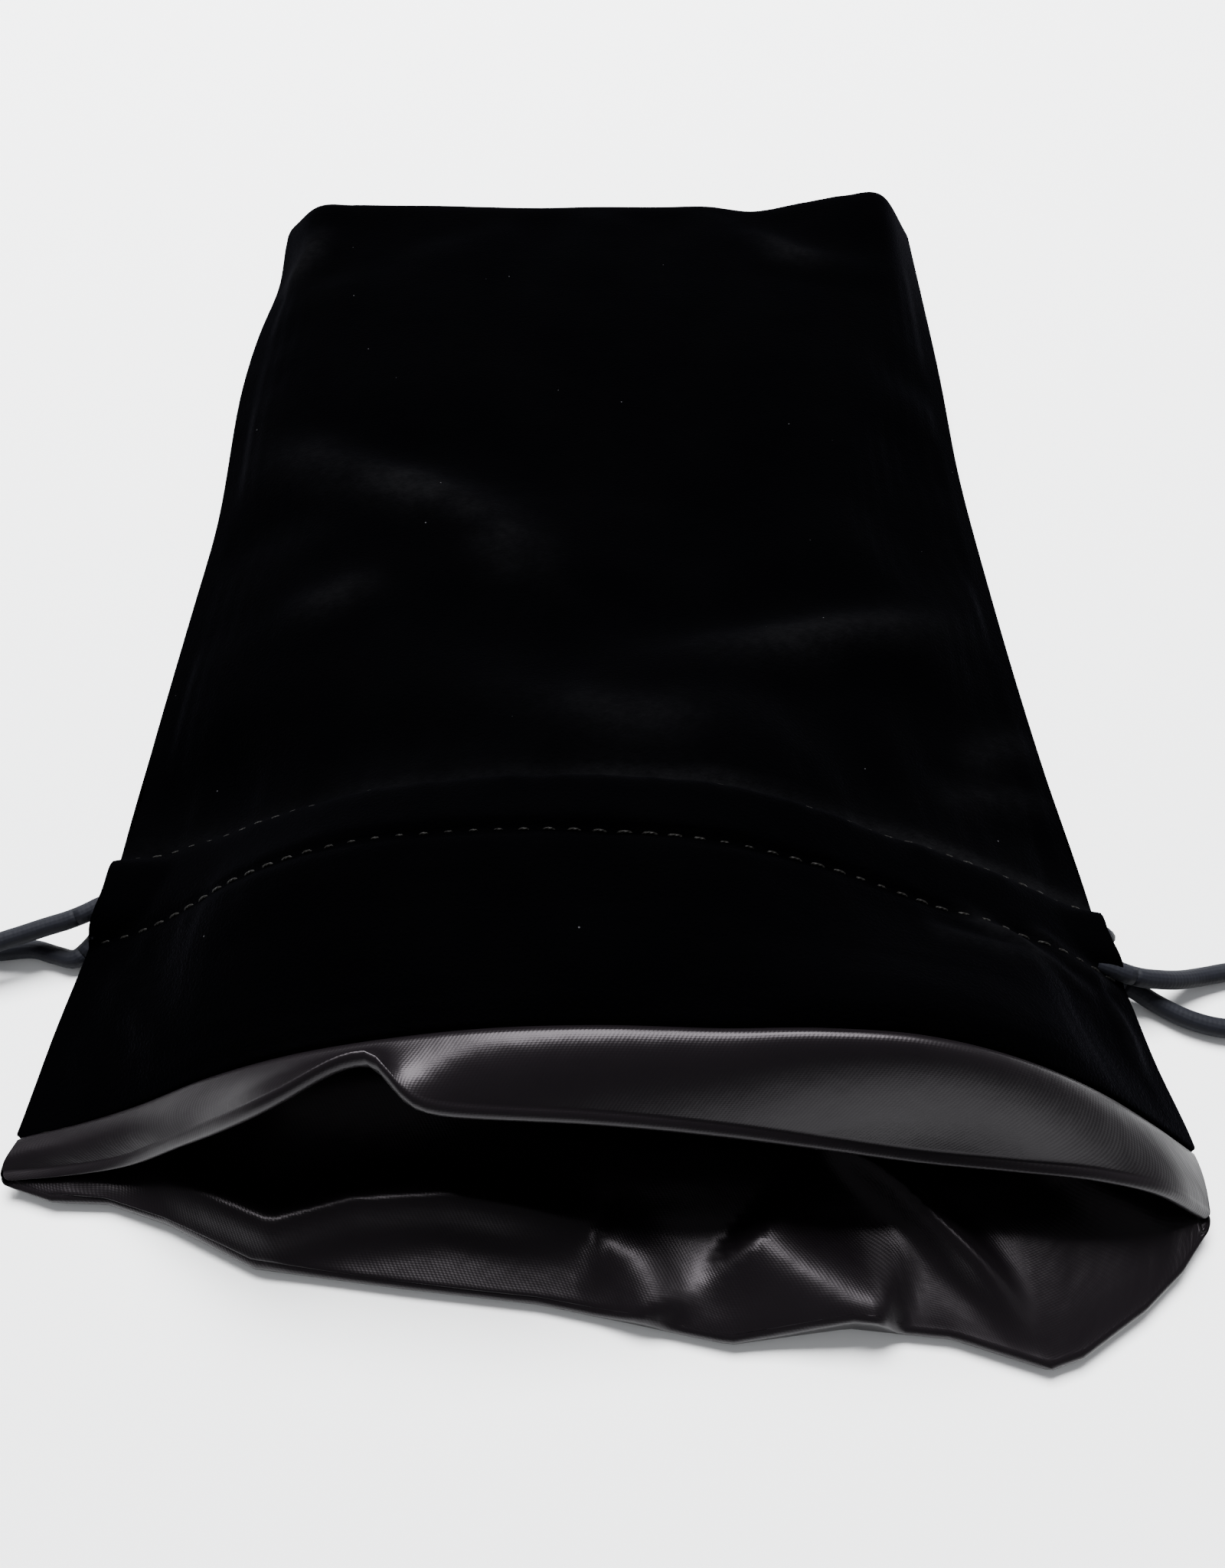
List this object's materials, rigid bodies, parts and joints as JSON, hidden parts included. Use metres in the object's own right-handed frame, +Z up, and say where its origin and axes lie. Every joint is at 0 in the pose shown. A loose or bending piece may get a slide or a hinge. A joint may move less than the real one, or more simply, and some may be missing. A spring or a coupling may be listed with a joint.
{
  "type": "drawstring dice bag",
  "caption": "Flat fabric pouch with a velvet outside, a satin lining turned out over the lip, and two knotted drawcords in a stitched casing that gather the mouth.",
  "frame": {"origin": "under the middle of the bag, without its cords, on the surface that it lies on", "axes": "+Y from the open mouth to the closed bottom seam, +X across the bag to the right seen from the mouth with +Z up, +Z out of the sheet that lies on top"},
  "size_m": [0.2344, 0.205, 0.0244],
  "materials": {
    "velvet": "deep black cotton velvet with a short pile and a faint grey sheen",
    "satin_lining": "charcoal satin with a fine diagonal weave and soft gloss",
    "cord": "round dark navy braided cord, matt",
    "thread": "black polyester sewing thread with a slight gloss"
  },
  "bodies": {
    "root": {"velvet_front_panel": "velvet", "velvet_back_panel": "velvet", "lining_front_panel": "satin_lining", "lining_back_panel": "satin_lining", "upper_casing_stitch_front": "thread", "lower_casing_stitch_front": "thread", "upper_casing_stitch_back": "thread", "lower_casing_stitch_back": "thread", "facing_seam_front": "thread", "facing_seam_back": "thread", "left_side_seam": "thread", "right_side_seam": "thread", "left_ruffle_seam": "thread", "right_ruffle_seam": "thread", "bottom_seam": "thread", "left_lining_seam": "thread", "right_lining_seam": "thread", "lining_bottom_seam": "thread"},
    "mouth_left": {"right_cord_loop": "cord"},
    "mouth_right": {"left_cord_loop": "cord"},
    "left_cord": {"left_cord_front_tail": "cord", "left_cord_back_tail": "cord", "left_cord_knot": "cord"},
    "right_cord": {"right_cord_front_tail": "cord", "right_cord_back_tail": "cord", "right_cord_knot": "cord"}
  },
  "joints": [
    {"name": "left_mouth_gather", "type": "slide", "parent": "root", "child": "mouth_left", "axis": [1, 0, 0], "range_m": [0, 0.032], "deforming": ["velvet_front_panel", "velvet_back_panel", "lining_front_panel", "lining_back_panel", "upper_casing_stitch_front", "lower_casing_stitch_front", "upper_casing_stitch_back", "lower_casing_stitch_back", "facing_seam_front", "facing_seam_back", "left_side_seam", "right_side_seam", "left_ruffle_seam", "right_ruffle_seam", "bottom_seam", "left_lining_seam", "right_lining_seam", "lining_bottom_seam", "left_cord_loop", "right_cord_loop"]},
    {"name": "right_mouth_gather", "type": "slide", "parent": "root", "child": "mouth_right", "axis": [-1, 0, 0], "range_m": [0, 0.032]},
    {"name": "left_cord_pull", "type": "slide", "parent": "mouth_left", "child": "left_cord", "axis": [-1, 0, 0], "range_m": [0, 0.064]},
    {"name": "right_cord_pull", "type": "slide", "parent": "mouth_right", "child": "right_cord", "axis": [1, 0, 0], "range_m": [0, 0.064]}
  ],
  "couplings": [
    {"joint": "right_mouth_gather", "follows": "left_mouth_gather", "ratio": 1},
    {"joint": "left_cord_pull", "follows": "left_mouth_gather", "ratio": 2},
    {"joint": "right_cord_pull", "follows": "left_mouth_gather", "ratio": 2}
  ]
}
